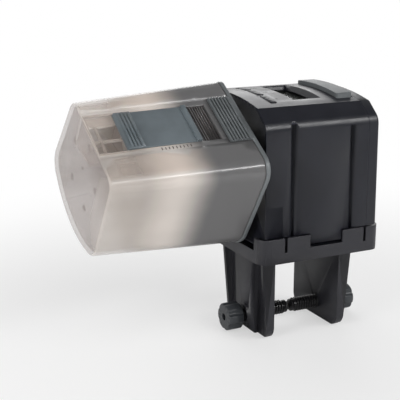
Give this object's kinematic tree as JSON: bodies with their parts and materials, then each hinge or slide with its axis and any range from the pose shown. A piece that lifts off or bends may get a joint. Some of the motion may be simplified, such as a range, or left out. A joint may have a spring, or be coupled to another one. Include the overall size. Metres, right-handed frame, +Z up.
{
  "type": "automatic pet feeder",
  "caption": "Aquarium fish feeder: a clear rotating food drum with a portion gate, turned by a battery drive housing in a rim clamp bracket with thumb screws.",
  "frame": {"origin": "middle of the bracket's underside between its clamp legs, where it rests on the tank rim", "axes": "+X from the drum towards the battery end, along the drum's axis; +Z up; +Y away from the front"},
  "size_m": [0.1451, 0.0811, 0.1229],
  "materials": {
    "body_plastic": "fine moulded texture, charcoal",
    "bracket_plastic": "moulded, near black",
    "knob_plastic": "moulded, dark slate",
    "screw_plastic": "smooth black",
    "button_plastic": "fine moulded texture, charcoal",
    "grey_plastic": "moulded, mid grey",
    "cap_plastic": "moulded, dark grey",
    "gate_plastic": "moulded, blue grey",
    "clear_plastic": "smoky clear, polished",
    "window_glass": "clear, dark tint",
    "display_plastic": "dark olive",
    "board_laminate": "green solder mask",
    "pad_rubber": "grey silicone",
    "inner_plastic": "plain moulded",
    "cell_wrap": "glossy sleeve",
    "contact_metal": "nickel plated",
    "motor_can": "plated steel can",
    "gear_plastic": "white acetal",
    "steel": "zinc plated"
  },
  "bodies": {
    "stand": {"clamp_bracket": "bracket_plastic", "housing": "body_plastic", "base_plate": "body_plastic", "base_screws": "steel", "display_window": "window_glass", "display_module": "display_plastic", "button_pad": "pad_rubber", "circuit_board": "board_laminate", "board_screws": "steel", "battery_holder": "inner_plastic", "lower_battery": "cell_wrap", "upper_battery": "cell_wrap", "contact_plates": "contact_metal", "contact_springs": "contact_metal", "motor": "motor_can", "hub_bush": "gear_plastic", "idler_pins": "steel", "gearbox_plate": "inner_plastic", "gearbox_screws": "steel", "position_switch": "inner_plastic"},
    "left_tip": {"left_pressure_tip": "screw_plastic"},
    "left_screw": {"left_clamp_knob": "knob_plastic", "left_clamp_screw": "screw_plastic"},
    "right_tip": {"right_pressure_tip": "screw_plastic"},
    "right_screw": {"right_clamp_knob": "knob_plastic", "right_clamp_screw": "screw_plastic"},
    "cover": {"battery_cover": "body_plastic"},
    "latch": {"cover_latch": "grey_plastic"},
    "mode_key": {"mode_button": "button_plastic"},
    "set_key": {"set_button": "button_plastic"},
    "feed_key": {"feed_button": "button_plastic"},
    "drive": {"drive_hub": "gear_plastic", "output_gear": "gear_plastic", "switch_cam": "gear_plastic"},
    "second_idler": {"second_idler_gear": "gear_plastic"},
    "first_idler": {"first_idler_gear": "gear_plastic"},
    "rotor": {"motor_shaft": "steel", "motor_pinion": "gear_plastic"},
    "cap": {"hopper_cap": "cap_plastic"},
    "drum": {"hopper": "clear_plastic"},
    "gate": {"portion_gate": "gate_plastic"}
  },
  "joints": [
    {"name": "drum_spin", "type": "hinge", "parent": "stand", "child": "drive", "pos_m": [0, 0, 0.045], "axis": [1, 0, 0], "continuous": true},
    {"name": "second_idler_spin", "type": "hinge", "parent": "stand", "child": "second_idler", "pos_m": [0, 0.01315, 0.03101], "axis": [1, 0, 0], "continuous": true},
    {"name": "first_idler_spin", "type": "hinge", "parent": "stand", "child": "first_idler", "pos_m": [0, 0.00164, 0.02188], "axis": [1, 0, 0], "continuous": true},
    {"name": "motor_spin", "type": "hinge", "parent": "stand", "child": "rotor", "pos_m": [0, -0.009, 0.02], "axis": [1, 0, 0], "continuous": true},
    {"name": "drum_release", "type": "slide", "parent": "drive", "child": "cap", "axis": [-1, 0, 0], "range_m": [0, 0.014]},
    {"name": "hopper_open", "type": "slide", "parent": "cap", "child": "drum", "axis": [-1, 0, 0], "range_m": [0, 0.011]},
    {"name": "gate_slide", "type": "slide", "parent": "drum", "child": "gate", "axis": [0.9992, -0.0219, 0.0337], "range_m": [-0.0124, 0.002]},
    {"name": "cover_pull", "type": "slide", "parent": "stand", "child": "cover", "axis": [1, 0, 0], "range_m": [0, 0.012]},
    {"name": "latch_press", "type": "slide", "parent": "stand", "child": "latch", "axis": [0, 0, -1], "range_m": [0, 0.001], "stiffness_N_per_m": 400, "springref_m": -0.0005},
    {"name": "mode_press", "type": "slide", "parent": "stand", "child": "mode_key", "axis": [0, 0, -1], "range_m": [0, 0.0006], "stiffness_N_per_m": 300, "springref_m": -0.0003},
    {"name": "set_press", "type": "slide", "parent": "stand", "child": "set_key", "axis": [0, 0, -1], "range_m": [0, 0.0006], "stiffness_N_per_m": 300, "springref_m": -0.0003},
    {"name": "feed_press", "type": "slide", "parent": "stand", "child": "feed_key", "axis": [0, 0, -1], "range_m": [0, 0.0006], "stiffness_N_per_m": 300, "springref_m": -0.0003},
    {"name": "left_tip_slide", "type": "slide", "parent": "stand", "child": "left_tip", "axis": [1, 0, 0], "range_m": [-0.015, 0]},
    {"name": "left_screw_turn", "type": "hinge", "parent": "left_tip", "child": "left_screw", "pos_m": [0, 0, -0.035], "axis": [1, 0, 0], "range_deg": [-3600, 0]},
    {"name": "right_tip_slide", "type": "slide", "parent": "stand", "child": "right_tip", "axis": [1, 0, 0], "range_m": [0, 0.015]},
    {"name": "right_screw_turn", "type": "hinge", "parent": "right_tip", "child": "right_screw", "pos_m": [0, 0, -0.035], "axis": [1, 0, 0], "range_deg": [0, 3600]}
  ],
  "couplings": [
    {"joint": "second_idler_spin", "follows": "drum_spin", "ratio": -3},
    {"joint": "first_idler_spin", "follows": "drum_spin", "ratio": 7.5},
    {"joint": "motor_spin", "follows": "drum_spin", "ratio": -15},
    {"joint": "left_screw_turn", "follows": "left_tip_slide", "rad_per_m": 4188.8},
    {"joint": "right_screw_turn", "follows": "right_tip_slide", "rad_per_m": 4188.8}
  ]
}
